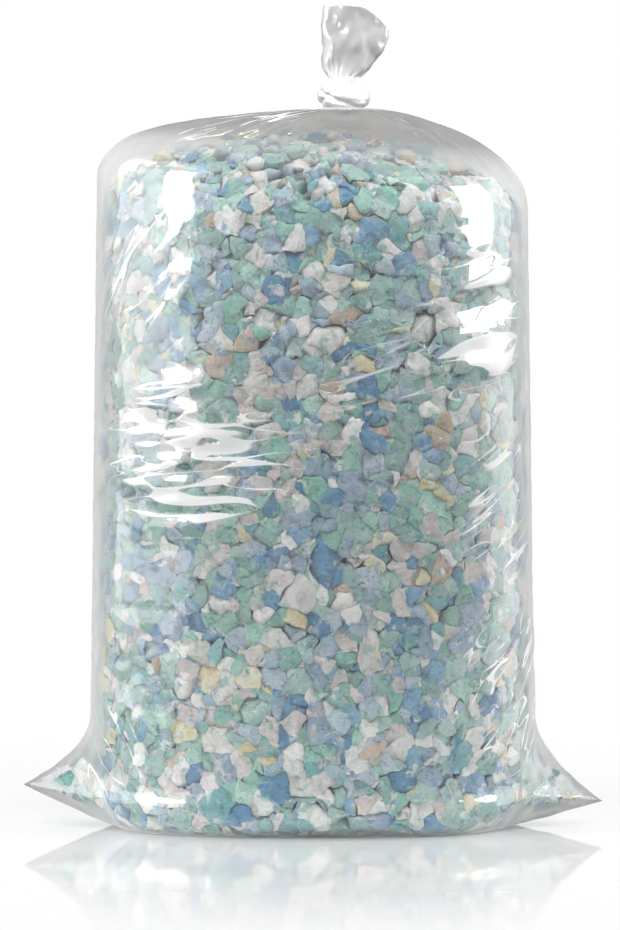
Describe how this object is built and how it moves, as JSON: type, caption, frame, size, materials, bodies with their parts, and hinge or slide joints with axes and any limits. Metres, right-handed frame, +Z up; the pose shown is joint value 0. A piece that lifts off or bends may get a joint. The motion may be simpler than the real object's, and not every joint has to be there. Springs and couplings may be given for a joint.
{
  "type": "bag of shredded foam",
  "caption": "Clear plastic bag of loose shredded memory foam crumb, standing upright, gathered and tied in a knot at the top, with the ends of its bottom seal sticking out as ears.",
  "frame": {"origin": "on the floor, under the middle of the bag's base", "axes": "+Z up, X across the front from ear to ear, -Y towards the viewer, which is the front"},
  "size_m": [0.486, 0.28, 0.686],
  "materials": {
    "film": "clear, glossy, slightly hazy",
    "foam": "matt torn foam of mixed pale colours",
    "crumb_white": "matt torn foam",
    "crumb_mint": "matt torn foam",
    "crumb_blue": "matt torn foam",
    "crumb_lilac": "matt torn foam",
    "crumb_cream": "matt torn foam",
    "crumb_tan": "matt torn foam",
    "crumb_aqua": "matt torn foam"
  },
  "bodies": {
    "root": {"bag_film": "film", "foam_fill": "foam", "foam_crumb_01": "crumb_white", "foam_crumb_02": "crumb_mint", "foam_crumb_03": "crumb_blue", "foam_crumb_04": "crumb_lilac", "foam_crumb_05": "crumb_cream", "foam_crumb_06": "crumb_tan", "foam_crumb_07": "crumb_aqua", "foam_crumb_08": "crumb_white", "foam_crumb_09": "crumb_mint", "foam_crumb_10": "crumb_blue", "foam_crumb_11": "crumb_lilac", "foam_crumb_12": "crumb_cream", "foam_crumb_13": "crumb_tan", "foam_crumb_14": "crumb_aqua", "foam_crumb_15": "crumb_white", "foam_crumb_16": "crumb_mint", "foam_crumb_17": "crumb_blue", "foam_crumb_18": "crumb_lilac", "foam_crumb_19": "crumb_cream", "foam_crumb_20": "crumb_tan", "foam_crumb_21": "crumb_aqua", "foam_crumb_22": "crumb_white", "foam_crumb_23": "crumb_mint", "foam_crumb_24": "crumb_blue", "foam_crumb_25": "crumb_lilac", "foam_crumb_26": "crumb_cream", "foam_crumb_27": "crumb_tan", "foam_crumb_28": "crumb_aqua", "foam_crumb_29": "crumb_white", "foam_crumb_30": "crumb_mint"}
  },
  "joints": []
}
